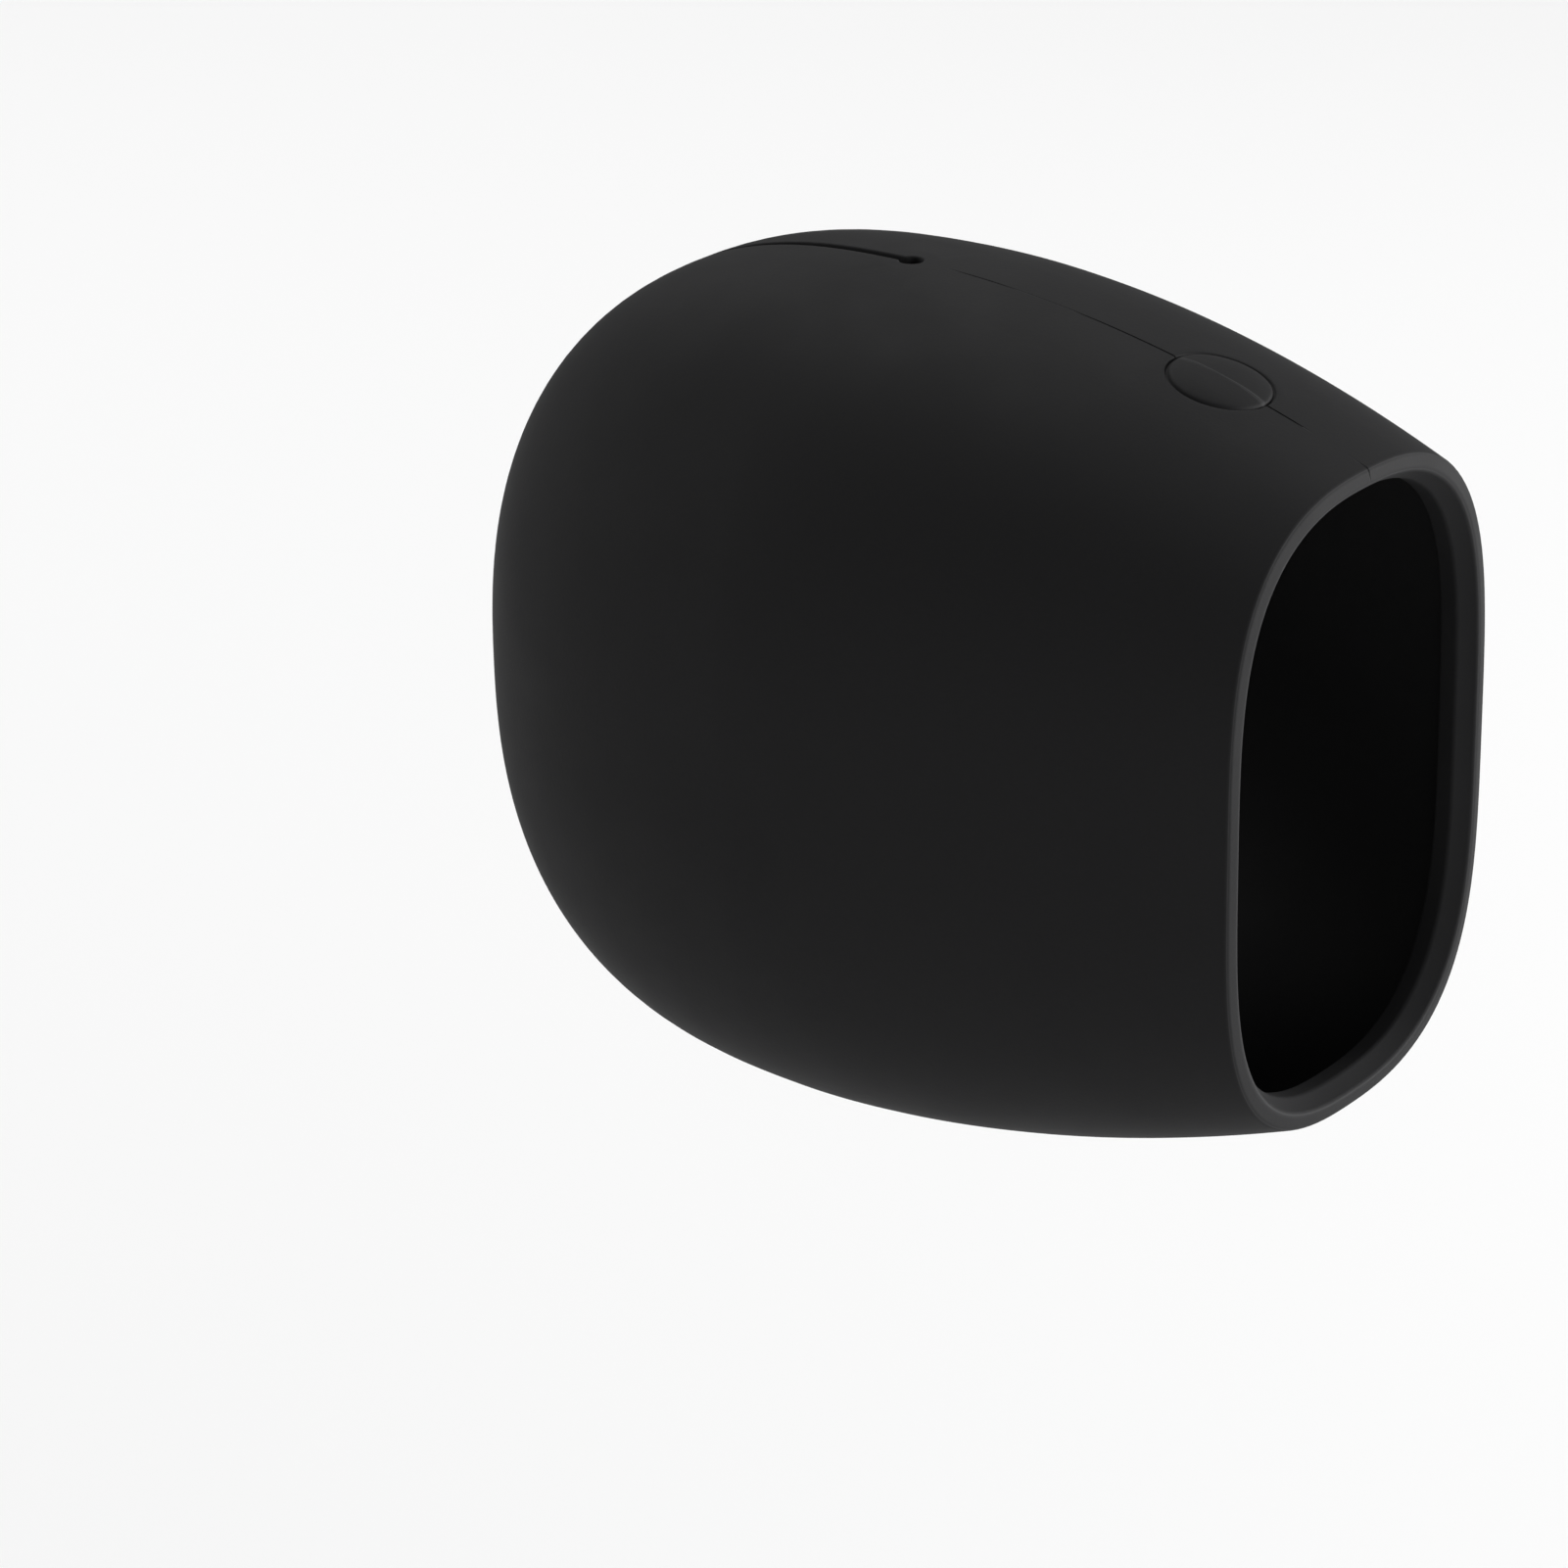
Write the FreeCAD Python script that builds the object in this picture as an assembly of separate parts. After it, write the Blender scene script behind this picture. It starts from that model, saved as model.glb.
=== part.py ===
import FreeCAD, Part
import math
import os

# Egg-shaped silicone skin: one hollow moulding, open at the front and at the rear. The slit
# and its relief hole let the rear opening spread when the skin is pulled on.
# Millimetres. The origin is the centre of the front opening, in the plane of the rim.
# +Y runs back along the axis of the skin, +Z is up and +X is to the right of it.

# Outer form, an egg that is cut off flat at the front
BODY_LENGTH = 80.4            # rim plane to the tip of the rear dome
WIDEST_AT = 44.0              # from the rim plane to the largest section
HALF_WIDTH_FRONT = 18.4
HALF_WIDTH_WIDEST = 26.3
HALF_HEIGHT_FRONT = 27.0
HALF_HEIGHT_WIDEST = 35.9
SIDE_SWELL_POWER = 1.45       # how the width eases into its widest station
TOP_SWELL_POWER = 1.9         # how the height eases into its widest station
DOME_POWER = 2.65             # 2 is an ellipse, and more is a blunter dome

# Section across the axis: |x / half width| ** p + |z / half height| ** q = 1
ROUNDNESS_X_FRONT = 2.5
ROUNDNESS_X_REAR = 2.3
ROUNDNESS_Z_FRONT = 3.6
ROUNDNESS_Z_REAR = 2.4

# Wall and front rim
WALL = 1.6
RIM_EDGE_RADIUS = 0.55        # outer edge of the rim
RIM_FLAT_INSET = 1.1          # outer section to the inner edge of the flat rim face
LIP_INSET = 2.15              # outer section to the edge of the front opening
LIP_BEVEL_DEPTH = 1.55        # the bevel between them runs back this far
LIP_LAND = 1.5                # straight wall of the opening behind the bevel

# Round rear opening, with the slit that runs from it over the top
REAR_OPENING_RADIUS = 16.8
REAR_OPENING_DROP = 11.6      # its centre lies this far below the axis
REAR_EDGE_CHAMFER = 0.25      # outer edge of the opening
SLIT_WIDTH = 0.9
RELIEF_HOLE_RADIUS = 1.0
RELIEF_HOLE_AT = 43.8         # from the rim plane to the round end of the slit

# Button membrane on top, moulded in one with the wall
BUTTON_AT = 13.8              # from the rim plane to its centre
BUTTON_RADIUS = 4.05
BUTTON_RISE = 0.4
BUTTON_EDGE_CHAMFER = 0.15
GROOVE_WIDTH = 0.4            # groove round the button
GROOVE_DEPTH = 0.45

# Parting line of the mould, a fine groove along the middle of the top and across the rim
PARTING_WIDTH = 0.2
PARTING_DEPTH = 0.12
PARTING_FROM = 6.0            # from the rim plane to the front end of the groove on top

# Fineness of the lofted form
POINTS_ROUND = 40
STATIONS_FRONT = 8
STATIONS_DOME = 10
DOME_LAST_ANGLE = math.radians(87.5)   # the dome ends in a small flat inside the rear opening
SPLINE_DEGREE = 3

# Room by which a cutting tool stands clear of the wall that it cuts
CLEAR = 2.0


def half_size(y, front, widest, power, inset):
    """Half width or half height at a station: a power curve, then a blunt dome."""
    if y < WIDEST_AT:
        ahead = (WIDEST_AT - y) / WIDEST_AT
        return widest - inset - (widest - front) * ahead ** power
    behind = (y - WIDEST_AT) / (BODY_LENGTH - inset - WIDEST_AT)
    return (widest - inset) * max(0.0, 1.0 - behind ** DOME_POWER) ** (1.0 / DOME_POWER)


def half_width(y, inset=0.0):
    return half_size(y, HALF_WIDTH_FRONT, HALF_WIDTH_WIDEST, SIDE_SWELL_POWER, inset)


def half_height(y, inset=0.0):
    return half_size(y, HALF_HEIGHT_FRONT, HALF_HEIGHT_WIDEST, TOP_SWELL_POWER, inset)


def blend(front, rear, y):
    return front + (rear - front) * y / BODY_LENGTH


def section(y, inset, place=None):
    """Closed smooth section of station y, drawn in the plane y = place."""
    p = blend(ROUNDNESS_X_FRONT, ROUNDNESS_X_REAR, y)
    q = blend(ROUNDNESS_Z_FRONT, ROUNDNESS_Z_REAR, y)
    width = half_width(y, inset)
    height = half_height(y, inset)
    plane = y if place is None else place
    points = []
    for index in range(POINTS_ROUND):
        turn = 2.0 * math.pi * (index + 0.5) / POINTS_ROUND - math.pi / 2.0
        rise = math.sin(turn)
        reach = (1.0 - abs(rise) ** q) ** (1.0 / p)
        points.append(FreeCAD.Vector(math.copysign(width * reach, math.cos(turn)), plane, height * rise))
    curve = Part.BSplineCurve()
    steps = [index / POINTS_ROUND for index in range(POINTS_ROUND + 1)]
    curve.interpolate(Points=points, PeriodicFlag=True, Parameters=steps)
    return Part.Wire([curve.toShape()])


def egg(inset, start=0.0):
    """Solid of the outer form, drawn in by inset on every side but the front."""
    dome = BODY_LENGTH - inset - WIDEST_AT
    stations = [start + (WIDEST_AT - start) * index / STATIONS_FRONT for index in range(STATIONS_FRONT)]
    for index in range(STATIONS_DOME + 1):
        angle = DOME_LAST_ANGLE * index / STATIONS_DOME
        stations.append(WIDEST_AT + dome * math.sin(angle) ** (2.0 / DOME_POWER))
    wires = [section(y, inset) for y in stations]
    return Part.makeLoft(wires, True, False, False, SPLINE_DEGREE)


def prism(inset, start, end):
    """Straight solid of the front section, drawn in by inset, between two planes."""
    face = Part.Face(section(0.0, inset, start))
    return face.extrude(FreeCAD.Vector(0, end - start, 0))


def rounded_body():
    """The outer form with the outer edge of its rim rounded."""
    body = egg(0.0)
    rim = [edge for edge in body.Edges if edge.BoundBox.YMax < RIM_EDGE_RADIUS / 2]
    return body.makeFillet(RIM_EDGE_RADIUS, rim)


def front_opening():
    """Cut through the lip: a bevel that narrows back to a straight land."""
    lip_depth = LIP_BEVEL_DEPTH + LIP_LAND
    land = prism(LIP_INSET, -CLEAR, lip_depth + CLEAR)
    # The bevel goes on past the rim plane at its own slope
    slope = (LIP_INSET - RIM_FLAT_INSET) / LIP_BEVEL_DEPTH
    outer = section(0.0, RIM_FLAT_INSET - slope * CLEAR, -CLEAR)
    inner = section(0.0, LIP_INSET, LIP_BEVEL_DEPTH)
    return land.fuse(Part.makeLoft([outer, inner], True, True))


def pocket():
    """The hollow inside the wall, from the back of the lip."""
    return egg(WALL, LIP_BEVEL_DEPTH + LIP_LAND)


def rear_opening():
    centre = FreeCAD.Vector(0, WIDEST_AT, -REAR_OPENING_DROP)
    length = BODY_LENGTH - WIDEST_AT + CLEAR
    return Part.makeCylinder(REAR_OPENING_RADIUS, length, centre, FreeCAD.Vector(0, 1, 0))


def slit():
    """Straight cut from the relief hole over the top into the rear opening."""
    low = -REAR_OPENING_DROP
    high = HALF_HEIGHT_WIDEST + CLEAR
    length = BODY_LENGTH + CLEAR - RELIEF_HOLE_AT
    corner = FreeCAD.Vector(-SLIT_WIDTH / 2, RELIEF_HOLE_AT, low)
    return Part.makeBox(SLIT_WIDTH, length, high - low, corner)


def relief_hole():
    """Round end of the slit, which keeps the wall from tearing there."""
    foot = FreeCAD.Vector(0, RELIEF_HOLE_AT, half_height(RELIEF_HOLE_AT) - WALL - CLEAR)
    return Part.makeCylinder(RELIEF_HOLE_RADIUS, WALL + 2 * CLEAR, foot)


def button_frame():
    """Centre of the button on the outer surface, and the way out from there."""
    step = WALL / 10
    centre = FreeCAD.Vector(0, BUTTON_AT, half_height(BUTTON_AT))
    along = FreeCAD.Vector(0, 2 * step, half_height(BUTTON_AT + step) - half_height(BUTTON_AT - step))
    out = FreeCAD.Vector(1, 0, 0).cross(along)
    out.normalize()
    return centre, out


def button_disc(radius, below):
    """Round plug through the top wall that starts below the outer surface."""
    centre, out = button_frame()
    foot = centre - out * below
    return Part.makeCylinder(radius, below + CLEAR, foot, out)


def button_groove():
    """Ring cut into the wall round the button, of even depth."""
    ring = button_disc(BUTTON_RADIUS + GROOVE_WIDTH, WALL)
    ring = ring.cut(button_disc(BUTTON_RADIUS, WALL + CLEAR))
    return ring.cut(egg(GROOVE_DEPTH))


def parting_strip(inset):
    """Thin upright strip over the middle of the top, that ends inset below the outer form."""
    corner = FreeCAD.Vector(-PARTING_WIDTH / 2, PARTING_FROM, 0)
    length = RELIEF_HOLE_AT - RELIEF_HOLE_RADIUS / 2 - PARTING_FROM
    strip = Part.makeBox(PARTING_WIDTH, length, HALF_HEIGHT_WIDEST + CLEAR, corner)
    return strip.cut(egg(inset))


def button():
    """Raised round face of the button, as curved as the wall under it."""
    disc = button_disc(BUTTON_RADIUS, WALL / 2).common(egg(-BUTTON_RISE, -BUTTON_RISE))
    rounds = [edge for edge in disc.Edges if edge.Length > 2 * BUTTON_RADIUS]
    top = max(rounds, key=lambda edge: edge.BoundBox.Center.z)
    disc = disc.makeChamfer(BUTTON_EDGE_CHAMFER, [top])
    return disc.cut(parting_strip(PARTING_DEPTH - BUTTON_RISE))


def rim_nick():
    """Mark that the parting line leaves across the face of the rim, at the top."""
    low = HALF_HEIGHT_FRONT - LIP_INSET
    corner = FreeCAD.Vector(-PARTING_WIDTH / 2, -CLEAR, low)
    return Part.makeBox(PARTING_WIDTH, CLEAR + PARTING_DEPTH, LIP_INSET + CLEAR, corner)


def chamfer_rear_edge(skin):
    """Break the outer edge of the rear opening."""
    mid_wall = egg(WALL / 2)
    edges = []
    for edge in skin.Edges:
        middle = edge.valueAt((edge.FirstParameter + edge.LastParameter) / 2)
        reach = math.hypot(middle.x, middle.z + REAR_OPENING_DROP)
        on_cut = abs(reach - REAR_OPENING_RADIUS) < WALL / 20 and middle.y > WIDEST_AT
        outside = not mid_wall.isInside(middle, 0.0, True)
        if on_cut and outside and edge.Length > 2 * WALL:
            edges.append(edge)
    return skin.makeChamfer(REAR_EDGE_CHAMFER, edges)


def silicone_skin():
    skin = rounded_body().cut(pocket())
    skin = skin.cut(front_opening())
    skin = chamfer_rear_edge(skin.cut(rear_opening()))
    skin = skin.cut(slit())
    skin = skin.cut(relief_hole())
    skin = skin.cut(parting_strip(PARTING_DEPTH)).cut(rim_nick())
    skin = skin.cut(button_groove()).fuse(button())
    return skin.Solids[0]


os.makedirs("parts", exist_ok=True)
silicone_skin().exportStep("parts/silicone_skin.step")
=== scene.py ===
import math

import bmesh
import bpy
from mathutils import Matrix, Vector
from mathutils.kdtree import KDTree


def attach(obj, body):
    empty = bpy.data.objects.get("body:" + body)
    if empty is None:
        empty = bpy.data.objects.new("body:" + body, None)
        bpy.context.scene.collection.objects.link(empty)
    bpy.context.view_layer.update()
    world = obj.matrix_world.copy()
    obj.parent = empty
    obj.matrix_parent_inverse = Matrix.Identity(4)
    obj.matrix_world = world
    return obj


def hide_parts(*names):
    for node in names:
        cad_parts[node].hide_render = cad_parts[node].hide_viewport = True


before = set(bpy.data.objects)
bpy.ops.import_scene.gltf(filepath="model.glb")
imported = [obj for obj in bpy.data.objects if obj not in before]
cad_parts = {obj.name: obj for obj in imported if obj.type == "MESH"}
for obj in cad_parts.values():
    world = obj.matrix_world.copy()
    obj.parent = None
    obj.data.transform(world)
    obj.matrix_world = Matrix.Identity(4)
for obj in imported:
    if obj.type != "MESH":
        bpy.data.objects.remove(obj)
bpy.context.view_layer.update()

# Egg-shaped skin, moulded in one piece in black silicone rubber.
# Sizes are in millimetres unless a name says otherwise, and MM turns them to metres.
# +Y runs back along the skin from the centre of its front opening, +Z is up.

MM = 0.001

# Outer form, an egg that is cut off flat at the front
BODY_LENGTH = 80.4
WIDEST_AT = 44.0
HALF_WIDTH_FRONT = 18.4
HALF_WIDTH_WIDEST = 26.3
HALF_HEIGHT_FRONT = 27.0
HALF_HEIGHT_WIDEST = 35.9
SIDE_SWELL_POWER = 1.45
TOP_SWELL_POWER = 1.9
DOME_POWER = 2.65
ROUNDNESS_X_FRONT = 2.5
ROUNDNESS_X_REAR = 2.3
ROUNDNESS_Z_FRONT = 3.6
ROUNDNESS_Z_REAR = 2.4

# Wall and front rim
WALL = 1.6
RIM_EDGE_RADIUS = 0.35
RIM_FACE_SLOPE = math.radians(11.0)   # the rim's face falls back towards its outer edge
CREST_INSET = 1.2             # outer section to the crest between the rim's face and the bevel
CREST_RADIUS = 0.55
LIP_INSET = 2.15
LIP_BEVEL_DEPTH = 1.55
LIP_LAND = 1.5
LIP_BACK = LIP_BEVEL_DEPTH + LIP_LAND

# Rear opening, slit and relief hole
REAR_OPENING_RADIUS = 16.8
REAR_OPENING_DROP = 11.6
SLIT_HALF_WIDTH = 0.45
RELIEF_HOLE_RADIUS = 1.0
RELIEF_HOLE_AT = 43.8

# Button membrane: radius from its centre, and how far the surface lies below the outer form there
BUTTON_AT = 13.8
BUTTON_PROFILE = (
    (5.20, 0.0), (4.70, 0.0), (4.54, 0.01), (4.46, 0.05), (4.41, 0.13), (4.36, 0.22), (4.29, 0.26),
    (4.22, 0.22), (4.17, 0.12), (4.11, 0.02), (4.02, -0.05), (3.88, -0.10), (3.65, -0.16),
    (3.35, -0.22), (2.95, -0.29), (2.45, -0.35), (1.85, -0.395), (1.20, -0.42), (0.60, -0.43),
    (0.20, -0.43),
)

# Parting line of the mould, by place along the top and depth: the mark across the rim, the groove
# where it is cut clean and where it has filled up, and the flash on the button
PARTING_HALF_WIDTH = 0.1
PARTING_DEPTHS = (
    (0.0, 0.07), (0.5, 0.07), (0.9, 0.0), (6.2, 0.0), (7.0, 0.25), (9.4, 0.25), (9.7, 0.0),
    (10.2, -0.03), (17.5, -0.03), (18.0, 0.0), (18.3, 0.25), (25.0, 0.20), (27.5, 0.03),
    (33.5, 0.02), (35.5, 0.12), (38.5, 0.12), (39.6, 0.0),
)

# Edges of the moulding, rounded by the polish of the mould
CUT_EDGE_ROUNDING = 0.16
REAR_EDGE_ROUNDING = 0.25
LIP_EDGE_ROUNDING = 0.22
WIDEST_ROUNDING = max(CUT_EDGE_ROUNDING, REAR_EDGE_ROUNDING, LIP_EDGE_ROUNDING)
ROUNDING_STEPS = 3

# Share of the paler colour that shows along edges: real wear on the cut edges, and a painted highlight
# along the rim's crest, the rim's outer edge and the flash
CUT_EDGE_WEAR = 0.25
CREST_PAINTED_HIGHLIGHT = 0.7
RIM_EDGE_PAINTED_HIGHLIGHT = 0.8
FLASH_PAINTED_HIGHLIGHT = 1.0

# Layout of the mesh, for the half on the +X side
TOP_STRIP = 6.0               # half width of the strip on top that holds the button and the slit
STRIP_COLUMNS = 12
FLANK_COLUMNS = 76
BUTTON_FROM, BUTTON_TO = 8.0, 19.6
BUTTON_ROWS = 24
HOLE_FROM, HOLE_TO = 40.4, 47.2
HOLE_ROWS = 10
HOLE_RINGS = (1.0, 1.25, 1.6, 2.1, 2.7)
BESIDE_SLIT = 0.25            # width of the first column beside the slit, wider than its edge's rounding
REAR_RING_AT = 62.0           # last plain station before the rows close in on the rear opening
REAR_ROWS = 26
RIM_STEPS = 8
CREST_STEPS = 6
ROWS_BEFORE_BUTTON = 8
ROWS_BEHIND_BUTTON = 20
ROWS_INSIDE = 34              # inner side, from the lip to the patch round the relief hole
ROWS_BESIDE_SLIT = 14
SAMPLES = 120                 # fineness of the tables that even out the spacing
HALVINGS = 44                 # steps that close in on a point of the form
TANGENT_STEP = 0.5            # either side of the button's centre, to find the slope of the wall there
BUTTON_SEARCH = 4.0           # above and below the button's plane, where its face is sought
WELD_DISTANCE = 0.002         # vertices of neighbouring patches that are nearer than this become one


def half_size(y, front, widest, power, inset):
    """Half width or half height at a station: a power curve, then a blunt dome."""
    if y < WIDEST_AT:
        ahead = (WIDEST_AT - y) / WIDEST_AT
        return widest - inset - (widest - front) * ahead ** power
    behind = (y - WIDEST_AT) / (BODY_LENGTH - inset - WIDEST_AT)
    return (widest - inset) * max(0.0, 1.0 - behind ** DOME_POWER) ** (1.0 / DOME_POWER)


def section(y, inset):
    """Half width, half height and the two powers of the section at a station."""
    share = y / BODY_LENGTH
    return (
        half_size(y, HALF_WIDTH_FRONT, HALF_WIDTH_WIDEST, SIDE_SWELL_POWER, inset),
        half_size(y, HALF_HEIGHT_FRONT, HALF_HEIGHT_WIDEST, TOP_SWELL_POWER, inset),
        ROUNDNESS_X_FRONT + (ROUNDNESS_X_REAR - ROUNDNESS_X_FRONT) * share,
        ROUNDNESS_Z_FRONT + (ROUNDNESS_Z_REAR - ROUNDNESS_Z_FRONT) * share,
    )


def beyond(point, inset):
    """Over zero outside the form that lies inset below the outer one, and under zero inside it."""
    wide, high, p, q = section(point.y, inset)
    return (abs(point.x) / wide) ** p + (abs(point.z) / high) ** q - 1.0


def reach(start, direction, inset, low, high):
    """Point of the form on a line from start, between two distances along it."""
    for _ in range(HALVINGS):
        middle = (low + high) / 2
        if beyond(start + direction * middle, inset) > 0.0:
            high = middle
        else:
            low = middle
    return start + direction * (low + high) / 2


def top_point(x, y, inset):
    """Point on top of the form, at a place across and along it."""
    wide, high, p, q = section(y, inset)
    return Vector((x, y, high * (1.0 - (x / wide) ** p) ** (1.0 / q)))


def rear_point(x, z, inset):
    """Point of the dome, straight behind a place of the widest section."""
    start = Vector((x, WIDEST_AT, z))
    return reach(start, Vector((0, 1, 0)), inset, 0.0, BODY_LENGTH - inset - WIDEST_AT)


def spaced(points, count):
    """Places along a fine run of points that part it into equal lengths, as fractions of its steps."""
    travelled = [0.0]
    for before, after in zip(points, points[1:]):
        travelled.append(travelled[-1] + (after - before).length)
    places = []
    step = 0
    for index in range(count + 1):
        target = travelled[-1] * index / count
        while step < len(points) - 2 and travelled[step + 1] < target:
            step += 1
        gap = travelled[step + 1] - travelled[step]
        places.append((step + (target - travelled[step]) / gap) / (len(points) - 1))
    return places


def girth(y, inset, first_x, place=None):
    """Half section from first_x beside the crown round to the keel, drawn in the plane y = place."""
    wide, high, p, q = section(y, inset)
    steps = [first_x + (TOP_STRIP - first_x) * index / STRIP_COLUMNS for index in range(STRIP_COLUMNS)]
    row = [top_point(x, y, inset) for x in steps]
    start = math.acos((1.0 - (TOP_STRIP / wide) ** p) ** (1.0 / q))

    def at(share):
        angle = start + (math.pi - start) * share
        rise = math.cos(angle)
        return Vector((wide * max(0.0, 1.0 - abs(rise) ** q) ** (1.0 / p), y, high * rise))

    fine = [at(index / SAMPLES) for index in range(SAMPLES + 1)]
    row += [at(share) for share in spaced(fine, FLANK_COLUMNS)]
    if place is not None:
        row = [Vector((point.x, place, point.z)) for point in row]
    return row


def stations(start, end, count):
    """Evenly spaced places from start to end, both of them included."""
    return [start + (end - start) * index / count for index in range(count + 1)]


def plain_rows(start, end, count, inset, first_x):
    """Evenly spaced rows of one side of the wall, between two stations."""
    return [girth(y, inset, first_x) for y in stations(start, end, count)]


def parting_depth(y):
    """Depth of the parting line at a station, under zero where flash stands up from it."""
    for (before, shallow), (after, deep) in zip(PARTING_DEPTHS, PARTING_DEPTHS[1:]):
        if before <= y < after:
            return shallow + (deep - shallow) * (y - before) / (after - before)
    return 0.0


class Moulding:
    """Collects the quads of one half of the skin, and the paths of edges to round, to keep sharp, and to
    paint paler, for wear and for painted highlights.
    """

    def __init__(self):
        self.mesh = bmesh.new()
        self.rounded = []
        self.sharp = []
        self.worn_and_highlit = []

    def patch(self, rows):
        """Quads between rows of points."""
        grid = [[self.mesh.verts.new(point * MM) for point in row] for row in rows]
        for row, following in zip(grid, grid[1:]):
            for index in range(len(row) - 1):
                corners = (row[index], row[index + 1], following[index + 1], following[index])
                self.mesh.faces.new(corners)

    def fan(self, centre, ring):
        """Triangles from a centre to a row of points."""
        hub = self.mesh.verts.new(centre * MM)
        spokes = [self.mesh.verts.new(point * MM) for point in ring]
        for before, after in zip(spokes, spokes[1:]):
            self.mesh.faces.new((hub, before, after))

    def round_off(self, path, size):
        """Mark a path of edges to round, which also wears it a little."""
        self.rounded.append((path, size))
        self.worn_and_highlit.append((path, CUT_EDGE_WEAR))

    def keep_sharp(self, path):
        self.sharp.append(path)

    # Paint a path paler: real wear on the cut edges, a painted highlight on the crest, the rim's outer
    # edge and the flash
    def wear_and_highlight(self, path, share):
        self.worn_and_highlit.append((path, share))

    def finish(self, name):
        """Weld the patches, mirror them to the -X side, and mark what to round, keep sharp and paint
        paler, for wear and for painted highlights.
        """
        skin = self.mesh
        bmesh.ops.remove_doubles(skin, verts=skin.verts, dist=WELD_DISTANCE * MM)
        whole = skin.verts[:] + skin.edges[:] + skin.faces[:]
        bmesh.ops.mirror(skin, geom=whole, matrix=Matrix(), merge_dist=WELD_DISTANCE * MM, axis="X")
        bmesh.ops.recalc_face_normals(skin, faces=skin.faces)
        skin.verts.ensure_lookup_table()
        tree = KDTree(len(skin.verts))
        for vertex in skin.verts:
            tree.insert(vertex.co, vertex.index)
        tree.balance()

        def vertices(path, side):
            near = [tree.find((point.x * side * MM, point.y * MM, point.z * MM))[1] for point in path]
            return [skin.verts[index] for index in near]

        def edges(path):
            for side in (1, -1):
                found = vertices(path, side)
                for before, after in zip(found, found[1:]):
                    edge = skin.edges.get((before, after))
                    if edge is not None:
                        yield edge

        weight = skin.edges.layers.float.new("bevel_weight_edge")
        for path, size in self.rounded:
            for edge in edges(path):
                edge[weight] = size / WIDEST_ROUNDING
        for path in self.sharp:
            for edge in edges(path):
                edge.smooth = False
        # Paler share per vertex, for wear and for painted highlights
        wear_and_highlight = skin.verts.layers.float.new("wear_and_highlight")
        for path, share in self.worn_and_highlit:
            for side in (1, -1):
                for vertex in vertices(path, side):
                    vertex[wear_and_highlight] = share
        for face in skin.faces:
            face.smooth = True
        data = bpy.data.meshes.new(name)
        skin.to_mesh(data)
        skin.free()
        return data


def button_patch():
    """Rings round the button, and the half rectangle on top of the skin that they fill."""
    centre = top_point(0.0, BUTTON_AT, 0.0)
    ahead = top_point(0.0, BUTTON_AT - TANGENT_STEP, 0.0)
    behind = top_point(0.0, BUTTON_AT + TANGENT_STEP, 0.0)
    along = (behind - ahead).normalized()
    out = Vector((1, 0, 0)).cross(along)

    def settle(x, step, inset):
        foot = centre + Vector((x, 0, 0)) + along * step
        return reach(foot, out, inset, -BUTTON_SEARCH, BUTTON_SEARCH)

    rear = girth(BUTTON_TO, 0.0, PARTING_HALF_WIDTH)[:STRIP_COLUMNS + 1]
    front = girth(BUTTON_FROM, 0.0, PARTING_HALF_WIDTH)[:STRIP_COLUMNS + 1]
    side = [top_point(TOP_STRIP, y, 0.0) for y in stations(BUTTON_TO, BUTTON_FROM, BUTTON_ROWS)]
    border = rear + side[1:-1] + front[::-1]
    count = len(border) - 1
    rings = [border]
    for radius, inset in BUTTON_PROFILE:
        lean = math.asin(PARTING_HALF_WIDTH / radius)
        angles = stations(lean, math.pi - lean, count)
        ring = [settle(radius * math.sin(angle), radius * math.cos(angle), inset) for angle in angles]
        rings.append(ring)
    middle_inset = BUTTON_PROFILE[-1][1]
    return rings, settle(PARTING_HALF_WIDTH, 0.0, middle_inset)


def hole_patch(inset):
    """Rings round the relief hole, and the half rectangle that they fill up to the slit."""
    front = girth(HOLE_FROM, inset, PARTING_HALF_WIDTH)[:STRIP_COLUMNS + 1]
    rear = girth(HOLE_TO, inset, SLIT_HALF_WIDTH)[:STRIP_COLUMNS + 1]
    side = [top_point(TOP_STRIP, y, inset) for y in stations(HOLE_FROM, HOLE_TO, HOLE_ROWS)]
    border = front + side[1:-1] + rear[::-1]
    rings = []
    for share in HOLE_RINGS:
        radius = RELIEF_HOLE_RADIUS * share
        first = math.asin(PARTING_HALF_WIDTH / radius)
        beside = math.pi - math.asin((SLIT_HALF_WIDTH + BESIDE_SLIT) / radius)
        last = math.pi - math.asin(SLIT_HALF_WIDTH / radius)
        ring = []
        for angle in stations(first, beside, len(border) - 2) + [last]:
            place = RELIEF_HOLE_AT - radius * math.cos(angle)
            ring.append(top_point(radius * math.sin(angle), place, inset))
        rings.append(ring)
    rings.append(border)
    return rings


def rear_rows(inset):
    """Rows that close in from the last plain station on the round rear opening."""
    outer = girth(REAR_RING_AT, inset, SLIT_HALF_WIDTH)
    strip_end = math.asin(TOP_STRIP / REAR_OPENING_RADIUS)
    columns = []
    for index, start in enumerate(outer):
        if index <= STRIP_COLUMNS:
            angle = math.asin(start.x / REAR_OPENING_RADIUS)
        else:
            angle = strip_end + (math.pi - strip_end) * (index - STRIP_COLUMNS) / FLANK_COLUMNS
        end_x = REAR_OPENING_RADIUS * math.sin(angle)
        end_z = REAR_OPENING_RADIUS * math.cos(angle) - REAR_OPENING_DROP

        def at(share):
            x = start.x + (end_x - start.x) * share
            z = start.z + (end_z - start.z) * share
            return rear_point(x, z, inset)

        fine = [at(step / SAMPLES) for step in range(SAMPLES + 1)]
        columns.append([start] + [at(share) for share in spaced(fine, REAR_ROWS)[1:]])
    return [list(row) for row in zip(*columns)]


def crown_rows(rows):
    """The first point of each row, which lies beside the crown."""
    return [row[0] for row in rows]


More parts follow.
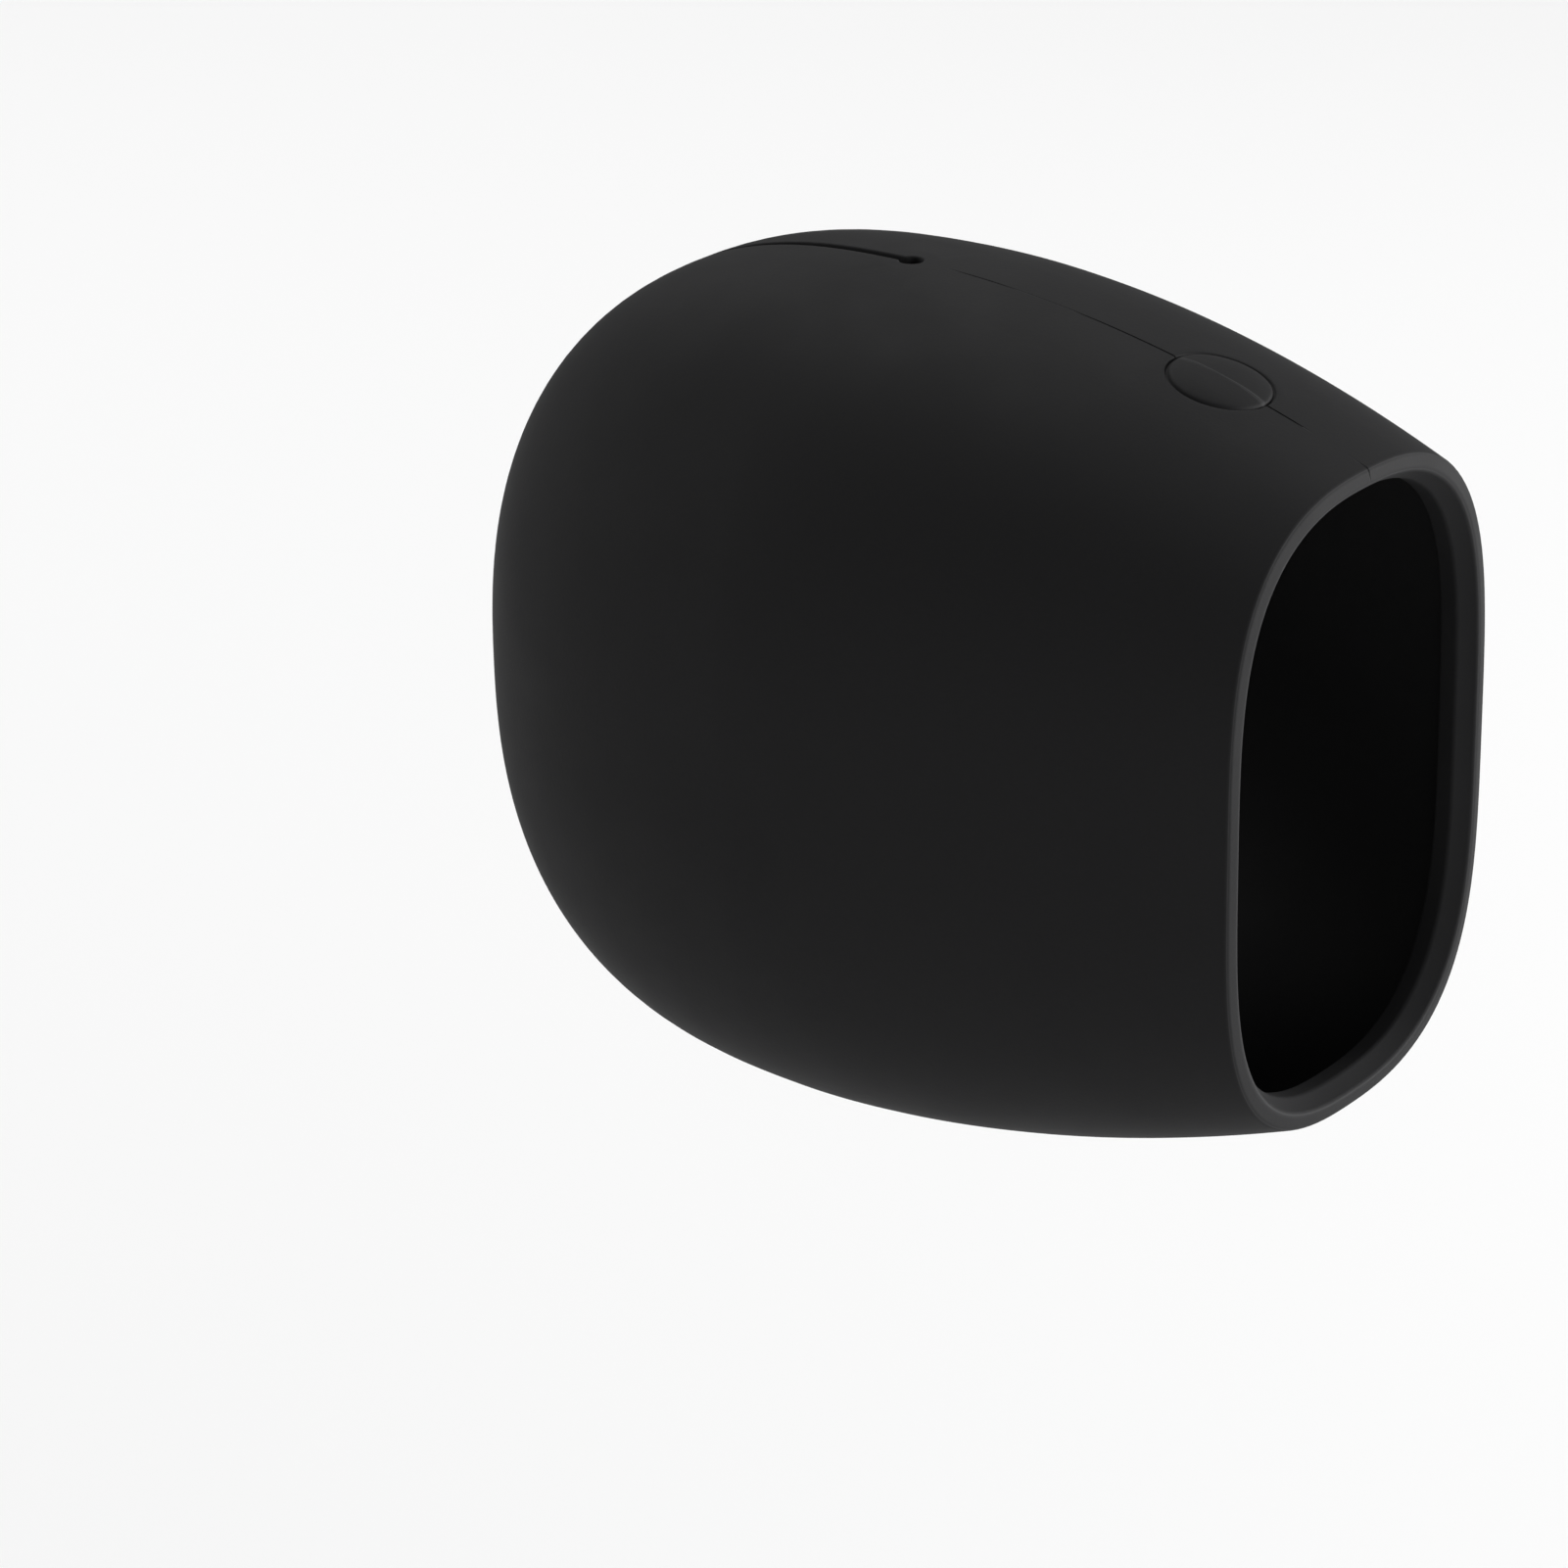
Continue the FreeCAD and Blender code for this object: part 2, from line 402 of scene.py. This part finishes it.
def wall_side(moulding, inset, front_rows, with_button):
    """One side of the wall. Returns its points beside the crown and round the cuts."""
    crown = []
    if with_button:
        before = plain_rows(RIM_BACK, BUTTON_FROM, ROWS_BEFORE_BUTTON, inset, PARTING_HALF_WIDTH)
        beside = plain_rows(BUTTON_FROM, BUTTON_TO, BUTTON_ROWS, inset, PARTING_HALF_WIDTH)
        rings, hub = button_patch()
        moulding.patch(rings)
        moulding.fan(hub, rings[-1])
        moulding.patch([row[STRIP_COLUMNS:] for row in beside])
        after = plain_rows(BUTTON_TO, HOLE_FROM, ROWS_BEHIND_BUTTON, inset, PARTING_HALF_WIDTH)
        moulding.patch(front_rows + before)
        moulding.patch(after)
        crown += crown_rows(front_rows + before)
        crown += [ring[-1] for ring in rings[1:]] + [hub] + [ring[0] for ring in reversed(rings)]
        crown += crown_rows(after[1:])
    else:
        after = plain_rows(LIP_BACK, HOLE_FROM, ROWS_INSIDE, inset, PARTING_HALF_WIDTH)
        moulding.patch(front_rows + after)
        crown += crown_rows(front_rows + after)

    rings = hole_patch(inset)
    moulding.patch(rings)
    crown += [ring[0] for ring in reversed(rings[:-1])]
    beside = []
    for index, y in enumerate(stations(HOLE_FROM, HOLE_TO, HOLE_ROWS)):
        first_x = PARTING_HALF_WIDTH if index < HOLE_ROWS else SLIT_HALF_WIDTH
        beside.append(girth(y, inset, first_x)[STRIP_COLUMNS:])
    moulding.patch(beside)

    slit_rows = plain_rows(HOLE_TO, REAR_RING_AT, ROWS_BESIDE_SLIT, inset, SLIT_HALF_WIDTH)
    moulding.patch(slit_rows)
    closing = rear_rows(inset)
    moulding.patch(closing)
    cut = rings[0] + [ring[-1] for ring in rings[1:]] + crown_rows(slit_rows[1:] + closing[1:])
    return crown, cut, closing[-1]


def rim_profile():
    """Inset and place of the points over the crest, the face and the outer edge of the rim."""
    bevel_slope = math.atan2(LIP_BEVEL_DEPTH, LIP_INSET - CREST_INSET)
    tangent = CREST_RADIUS * math.tan((bevel_slope + RIM_FACE_SLOPE) / 2)
    centre = CREST_INSET + CREST_RADIUS * math.sin(RIM_FACE_SLOPE) - tangent * math.cos(RIM_FACE_SLOPE)
    points = []
    for turn in stations(bevel_slope, -RIM_FACE_SLOPE, CREST_STEPS):
        points.append((centre + CREST_RADIUS * math.sin(turn), CREST_RADIUS * (1.0 - math.cos(turn))))
    face_inset, face_place = points[-1]
    turned = math.pi / 2 - RIM_FACE_SLOPE
    corner = face_place + face_inset * math.tan(RIM_FACE_SLOPE)
    back = corner + RIM_EDGE_RADIUS * math.tan(turned / 2)
    for turn in stations(turned, 0.0, RIM_STEPS):
        points.append((RIM_EDGE_RADIUS * (1.0 - math.cos(turn)), back - RIM_EDGE_RADIUS * math.sin(turn)))
    return points


RIM_PROFILE = rim_profile()
RIM_BACK = RIM_PROFILE[-1][1]   # from the rim plane to the back of the rim's outer edge


def rim_rows():
    """Rows from the lip over the crest and the face of the rim to its outer edge."""
    rows = [girth(0.0, LIP_INSET, PARTING_HALF_WIDTH, y) for y in (LIP_BACK, LIP_BEVEL_DEPTH)]
    rows += [girth(0.0, inset, PARTING_HALF_WIDTH, y) for inset, y in RIM_PROFILE[:CREST_STEPS + 1]]
    inner_rows = len(rows)
    rows += [girth(y, inset, PARTING_HALF_WIDTH) for inset, y in RIM_PROFILE[CREST_STEPS + 1:-1]]
    return rows, inner_rows


def middle_of(points, deep):
    """The points moved to the middle plane, with the parting line sunk or raised there."""
    moved = []
    for point in points:
        depth = parting_depth(point.y) if deep else 0.0
        turn = math.pi / 2 * min(1.0, point.y / RIM_BACK)
        moved.append(Vector((0.0, point.y + depth * math.cos(turn), point.z - depth * math.sin(turn))))
    return moved


def silicone_skin():
    """The skin as one closed moulding, on the body that holds its solid."""
    moulding = Moulding()
    rim, inner_rows = rim_rows()
    outer_crown, outer_cut, outer_ring = wall_side(moulding, 0.0, rim, True)
    inner_crown, inner_cut, inner_ring = wall_side(moulding, WALL, [rim[0]], False)

    outer_middle = middle_of(outer_crown[:inner_rows], False) + middle_of(outer_crown[inner_rows:], True)
    inner_middle = middle_of(inner_crown, False)
    moulding.patch([outer_crown, outer_middle])
    moulding.patch([inner_crown, inner_middle])

    # The walls of the relief hole, the slit and the rear opening
    outer_edge = [outer_middle[-1]] + outer_cut + outer_ring[1:]
    inner_edge = [inner_middle[-1]] + inner_cut + inner_ring[1:]
    moulding.patch([outer_edge, inner_edge])

    moulding.round_off([outer_middle[-1]] + outer_cut, CUT_EDGE_ROUNDING)
    moulding.round_off([inner_middle[-1]] + inner_cut, CUT_EDGE_ROUNDING)
    moulding.round_off(outer_ring, REAR_EDGE_ROUNDING)
    moulding.round_off(inner_ring, CUT_EDGE_ROUNDING)
    land_back, lip_edge = rim[:2]
    moulding.round_off([outer_middle[0]] + land_back, CUT_EDGE_ROUNDING)
    moulding.round_off([outer_middle[1]] + lip_edge, LIP_EDGE_ROUNDING)

    # The parting line's groove has sharp edges. Its flash and the crest and outer edge of the rim
    # get a painted highlight: a paler colour painted along them
    moulding.keep_sharp(outer_crown)
    moulding.keep_sharp(outer_middle)
    for path in (outer_crown, outer_middle):
        moulding.wear_and_highlight([point for point in path[inner_rows:] if parting_depth(point.y) < 0.0], FLASH_PAINTED_HIGHLIGHT)
    crest = inner_rows - 1 - CREST_STEPS // 2
    rim_edge = inner_rows + RIM_STEPS // 2
    moulding.wear_and_highlight([outer_middle[crest]] + rim[crest], CREST_PAINTED_HIGHLIGHT)
    moulding.wear_and_highlight([outer_middle[rim_edge]] + rim[rim_edge], RIM_EDGE_PAINTED_HIGHLIGHT)

    piece = bpy.data.objects.new("skin_moulding", moulding.finish("skin_moulding"))
    bpy.context.scene.collection.objects.link(piece)
    rounding = piece.modifiers.new("rounded edges", "BEVEL")
    rounding.limit_method = "WEIGHT"
    rounding.width = WIDEST_ROUNDING * MM
    rounding.segments = ROUNDING_STEPS
    rounding.use_clamp_overlap = False
    normals = piece.modifiers.new("even shading", "WEIGHTED_NORMAL")
    normals.keep_sharp = True
    piece.data.materials.append(matte_silicone())
    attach(piece, "root")
    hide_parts("silicone_skin")


def linear(hex_colour):
    """An sRGB hex colour as linear red, green, blue and alpha, by the curve of that standard."""
    parts = []
    for shift in (16, 8, 0):
        value = ((hex_colour >> shift) & 255) / 255
        parts.append(value / 12.92 if value <= 0.04045 else ((value + 0.055) / 1.055) ** 2.4)
    return (*parts, 1.0)


def add_node(tree, kind, settings, inputs):
    """A node with its settings, and with its inputs set to values or linked to other nodes' outputs."""
    made = tree.nodes.new(kind)
    for name, value in settings.items():
        setattr(made, name, value)
    for name, value in inputs.items():
        if isinstance(value, bpy.types.NodeSocket):
            tree.links.new(value, made.inputs[name])
        else:
            made.inputs[name].default_value = value
    return made


def blank_material(name):
    material = bpy.data.materials.new(name)
    material.use_nodes = True
    material.node_tree.nodes.clear()
    return material, material.node_tree


# Silicone rubber, compression moulded in a tool with a fine spark-eroded finish: a soft black that
# is nearly flat face on, greys a little towards its outline and has a very fine grain.
SILICONE_COLOUR = 0x161617
SILICONE_PALE_COLOUR = 0x1B1B1C
# paler colour of real wear on the cut edges and of the painted highlights on the rim's crest, the rim's
# outer edge and the flash
SILICONE_WORN_AND_HIGHLIGHT_COLOUR = 0x333334
SILICONE_IOR = 1.41
SILICONE_SPECULAR = 0.25      # low, because the spark-eroded finish scatters most of the gloss
GRAIN_SIZE = 0.35             # mm, the real grain is about 0.05 and is drawn coarser so that it shows
GRAIN_HEIGHT = 0.012
GRAIN_DETAIL = 2.0
GRAIN_ROUGHNESS = 0.6
CLOUD_SIZE = 14.0             # mm, size of the faint pale clouds that handling leaves
CLOUD_DETAIL = 3.0
CLOUD_ROUGHNESS = 0.55
THIN_CLOUD = 0.3              # value of the clouds up to which a place counts as clear
FULL_WEAR_AND_HIGHLIGHT_CLOUD = 0.6              # value from which the wear and the painted highlights show in full
DULL_CLOUD = 0.7              # value from which the surface is at its dullest
LEAST_WEAR_AND_HIGHLIGHT = 0.5              # share of the wear and of the painted highlights that shows where there is no cloud
LEAST_ROUGH = 0.71
MOST_ROUGH = 0.79


def matte_silicone():
    """Silicone rubber, paler in faint clouds and along the worn cut edges, with painted highlights along
    the rim's crest, the rim's outer edge and the flash.
    """
    material, tree = blank_material("matte_black_silicone_rubber")
    place = add_node(tree, "ShaderNodeTexCoord", {}, {}).outputs["Object"]
    clouds = add_node(tree, "ShaderNodeTexNoise", {}, {
        "Vector": place, "Scale": 1.0 / (CLOUD_SIZE * MM),
        "Detail": CLOUD_DETAIL, "Roughness": CLOUD_ROUGHNESS,
    })
    grain = add_node(tree, "ShaderNodeTexNoise", {}, {
        "Vector": place, "Scale": 1.0 / (GRAIN_SIZE * MM),
        "Detail": GRAIN_DETAIL, "Roughness": GRAIN_ROUGHNESS,
    })
    colour = add_node(tree, "ShaderNodeMix", {"data_type": "RGBA"}, {
        "Factor": clouds.outputs["Fac"], "A": linear(SILICONE_COLOUR), "B": linear(SILICONE_PALE_COLOUR),
    })
    # mask of wear and of painted highlights, made patchy by the clouds
    wear_and_highlight = add_node(tree, "ShaderNodeAttribute", {"attribute_name": "wear_and_highlight"}, {}).outputs["Fac"]
    patchy = add_node(tree, "ShaderNodeMapRange", {}, {
        "Value": clouds.outputs["Fac"], "From Min": THIN_CLOUD, "From Max": FULL_WEAR_AND_HIGHLIGHT_CLOUD,
        "To Min": LEAST_WEAR_AND_HIGHLIGHT, "To Max": 1.0,
    })
    worn_and_highlit = add_node(tree, "ShaderNodeMath", {"operation": "MULTIPLY"}, {
        0: wear_and_highlight, 1: patchy.outputs["Result"],
    })
    edged = add_node(tree, "ShaderNodeMix", {"data_type": "RGBA"}, {
        "Factor": worn_and_highlit.outputs["Value"], "A": colour.outputs["Result"], "B": linear(SILICONE_WORN_AND_HIGHLIGHT_COLOUR),
    })
    roughness = add_node(tree, "ShaderNodeMapRange", {}, {
        "Value": clouds.outputs["Fac"], "From Min": THIN_CLOUD, "From Max": DULL_CLOUD,
        "To Min": LEAST_ROUGH, "To Max": MOST_ROUGH,
    })
    bump = add_node(tree, "ShaderNodeBump", {}, {
        "Height": grain.outputs["Fac"], "Distance": GRAIN_HEIGHT * MM, "Strength": 1.0,
    })
    shader = add_node(tree, "ShaderNodeBsdfPrincipled", {}, {
        "Base Color": edged.outputs["Result"], "Roughness": roughness.outputs["Result"],
        "IOR": SILICONE_IOR, "Specular IOR Level": SILICONE_SPECULAR, "Normal": bump.outputs["Normal"],
    })
    add_node(tree, "ShaderNodeOutputMaterial", {}, {"Surface": shader.outputs["BSDF"]})
    return material


def pale_floor():
    """Matte white studio paper, lower than the skin, which hangs over it."""
    material, tree = blank_material("matte_white_studio_paper")
    shader = add_node(tree, "ShaderNodeBsdfPrincipled", {}, {
        "Base Color": linear(PAPER_COLOUR),
        "Roughness": PAPER_ROUGHNESS, "Specular IOR Level": PAPER_SPECULAR,
    })
    add_node(tree, "ShaderNodeOutputMaterial", {}, {"Surface": shader.outputs["BSDF"]})
    paper = bmesh.new()
    bmesh.ops.create_circle(paper, cap_ends=True, segments=FLOOR_SIDES, radius=FLOOR_RADIUS * MM)
    data = bpy.data.meshes.new("studio_paper")
    paper.to_mesh(data)
    paper.free()
    data.materials.append(material)
    floor = bpy.data.objects.new("studio_paper", data)
    floor.location.z = FLOOR_LEVEL * MM
    bpy.context.scene.collection.objects.link(floor)


# Studio. The skin is shown as it is worn, off the ground, so the floor lies free below it.
FLOOR_LEVEL = -250.0
FLOOR_RADIUS = 4000.0
FLOOR_SIDES = 96
PAPER_COLOUR = 0xF4F4F4
PAPER_ROUGHNESS = 0.9
PAPER_SPECULAR = 0.1
WORLD_COLOUR = 0xFFFFFF
WORLD_STRENGTH = 0.2
LIGHTS = (
    # name, place, aim, width, height (mm), power (W)
    ("softbox_front", (150, -1500, 250), (0, 0, 0), 700, 700, 18.0),
    ("softbox_low_right", (1500, -1200, 150), (0, 0, 0), 500, 400, 37.0),
    ("softbox_back_right", (1500, 1500, 1400), (900, 800, -250), 1200, 1200, 7.0),
    ("softbox_low_behind", (-800, 1600, 500), (0, 0, 0), 700, 700, 8.4),
    ("softbox_over_paper", (600, 1200, 2000), (600, 800, -250), 1000, 1000, 25.2),
)


def turned_to(back, roll=0.0):
    """Rotation of a lamp or of the viewpoint, whose back points along a direction."""
    back = back.normalized()
    right = Vector((0, 0, 1)).cross(back).normalized()
    up = back.cross(right)
    turned_right = right * math.cos(roll) + up * math.sin(roll)
    turned_up = up * math.cos(roll) - right * math.sin(roll)
    return Matrix((turned_right, turned_up, back)).transposed()


def studio_light():
    """White surroundings and the softboxes."""
    bpy.context.scene.view_settings.view_transform = "Standard"
    world = bpy.data.worlds.new("studio")
    world.use_nodes = True
    backdrop = world.node_tree.nodes["Background"]
    backdrop.inputs["Color"].default_value = linear(WORLD_COLOUR)
    backdrop.inputs["Strength"].default_value = WORLD_STRENGTH
    bpy.context.scene.world = world
    for name, place, aim, width, height, power in LIGHTS:
        lamp = bpy.data.lights.new(name, "AREA")
        lamp.shape = "RECTANGLE"
        lamp.size = width * MM
        lamp.size_y = height * MM
        lamp.energy = power
        holder = bpy.data.objects.new(name, lamp)
        turn = turned_to(Vector(place) - Vector(aim))
        holder.matrix_world = Matrix.Translation(Vector(place) * MM) @ turn.to_4x4()
        bpy.context.scene.collection.objects.link(holder)


# Viewpoint, worked out from the outline of the skin in the picture
VIEW_AIM = (-27.81, 35.63, 1.65)
VIEW_DISTANCE = 400.2
VIEW_AZIMUTH = math.radians(-51.14)
VIEW_ELEVATION = math.radians(23.03)
VIEW_ROLL = math.radians(-1.12)
FOCAL_LENGTH = 117.34
SENSOR_WIDTH = 36.0
NEAREST_SEEN = 10.0
FARTHEST_SEEN = 20000.0


def viewpoint():
    """The place, direction and lens of the picture."""
    level = math.cos(VIEW_ELEVATION)
    back = Vector((
        math.sin(VIEW_AZIMUTH) * level,
        -math.cos(VIEW_AZIMUTH) * level,
        math.sin(VIEW_ELEVATION),
    ))
    lens = bpy.data.cameras.new("viewpoint")
    lens.lens = FOCAL_LENGTH
    lens.sensor_width = SENSOR_WIDTH
    lens.clip_start = NEAREST_SEEN * MM
    lens.clip_end = FARTHEST_SEEN * MM
    holder = bpy.data.objects.new("viewpoint", lens)
    place = Vector(VIEW_AIM) + back * VIEW_DISTANCE
    holder.matrix_world = Matrix.Translation(place * MM) @ turned_to(back, VIEW_ROLL).to_4x4()
    bpy.context.scene.collection.objects.link(holder)
    bpy.context.scene.camera = holder


viewpoint()
studio_light()
pale_floor()
silicone_skin()

bpy.context.view_layer.update()
